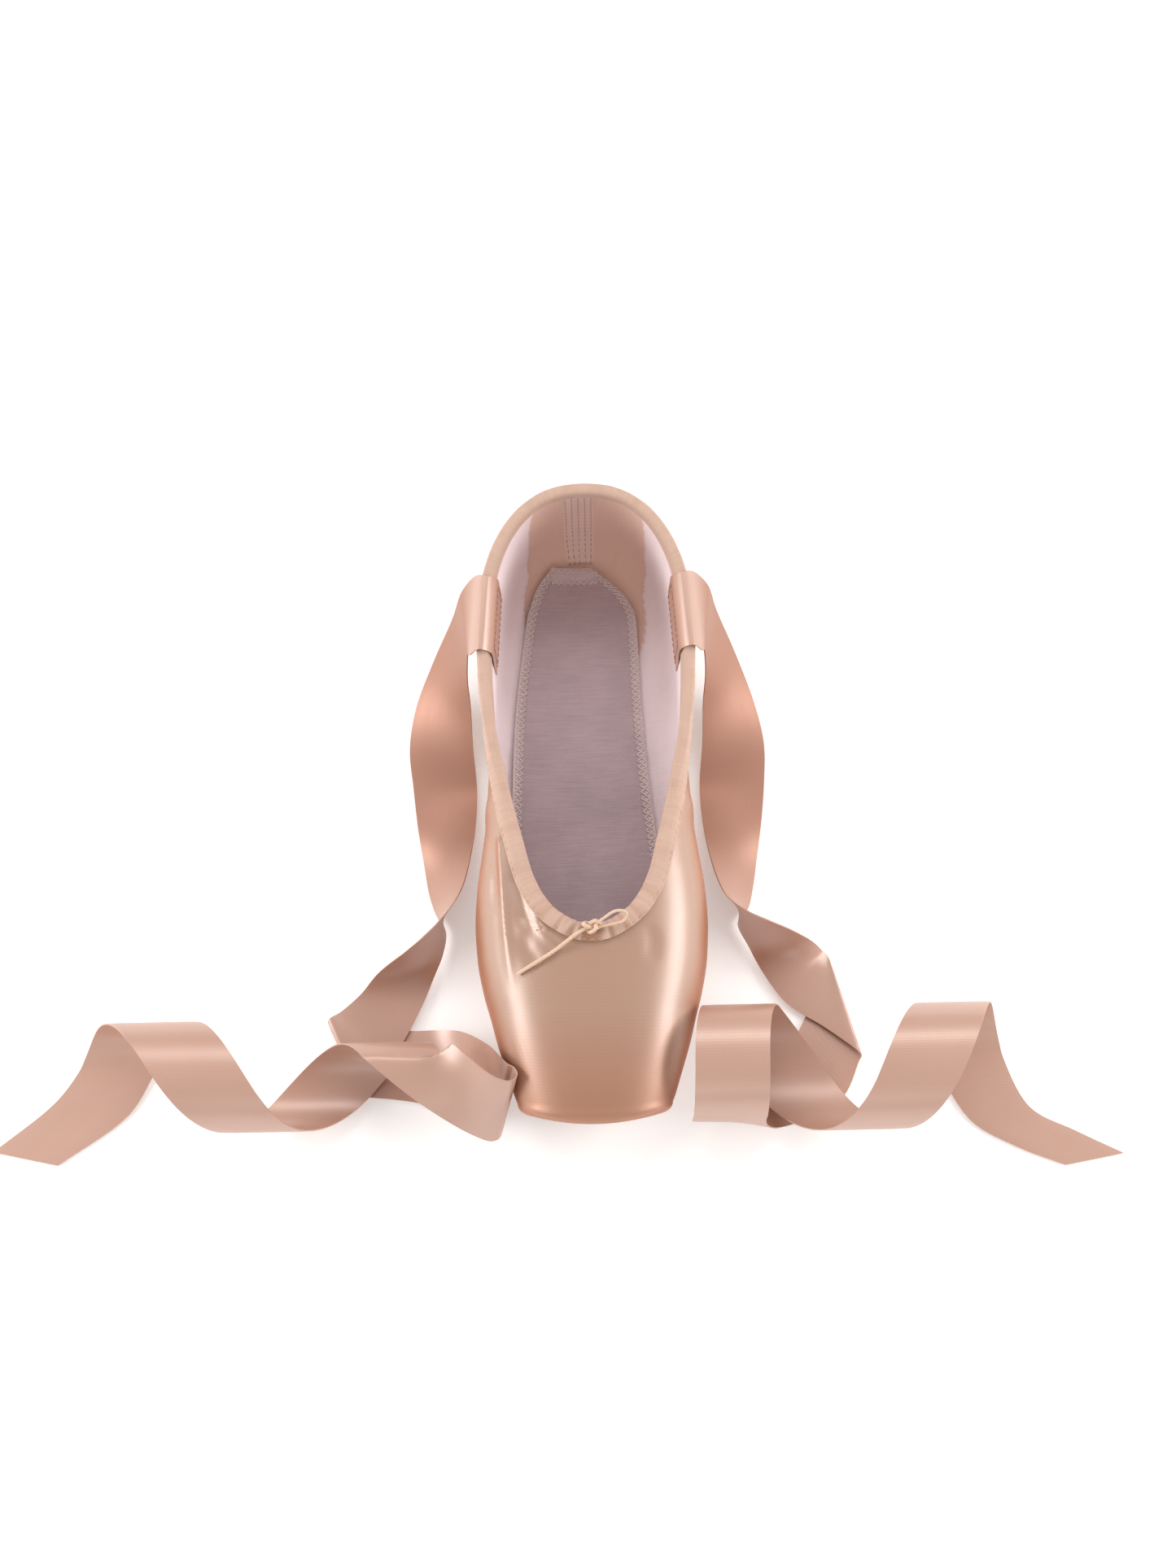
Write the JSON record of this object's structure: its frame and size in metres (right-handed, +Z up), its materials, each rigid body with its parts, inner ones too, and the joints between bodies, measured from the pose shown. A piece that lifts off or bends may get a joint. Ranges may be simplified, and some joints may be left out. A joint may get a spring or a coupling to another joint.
{
  "type": "ballet pointe shoe",
  "caption": "Empty satin ballet shoe with a stiff blocked toe, bound collar, drawstring knot, leather sole and long ribbons that curl on the floor.",
  "frame": {"origin": "on the floor under the middle of the shoe, ribbons left out", "axes": "+Z up, +Y from toe to heel, +X to the right when the shoe is seen from above with its toe nearest"},
  "size_m": [0.388, 0.24, 0.0588],
  "materials": {
    "satin": "rose-gold satin with a soft lengthwise sheen over a stiffened box, pale cotton lining inside",
    "sole_leather": "plain suede-faced leather",
    "sock_lining": "mauve-grey woven cotton with a stitched edge",
    "binding_tape": "matt cream-peach cotton tape, gathered at the throat",
    "drawstring": "thin twisted cotton cord",
    "ribbon_satin": "rose-gold satin ribbon"
  },
  "bodies": {
    "root": {"upper": "satin", "outsole": "sole_leather", "insole": "sock_lining", "binding": "binding_tape", "drawstring_knot": "drawstring", "drawstring_tail": "drawstring", "ribbon_left": "ribbon_satin", "ribbon_right": "ribbon_satin"}
  },
  "joints": []
}
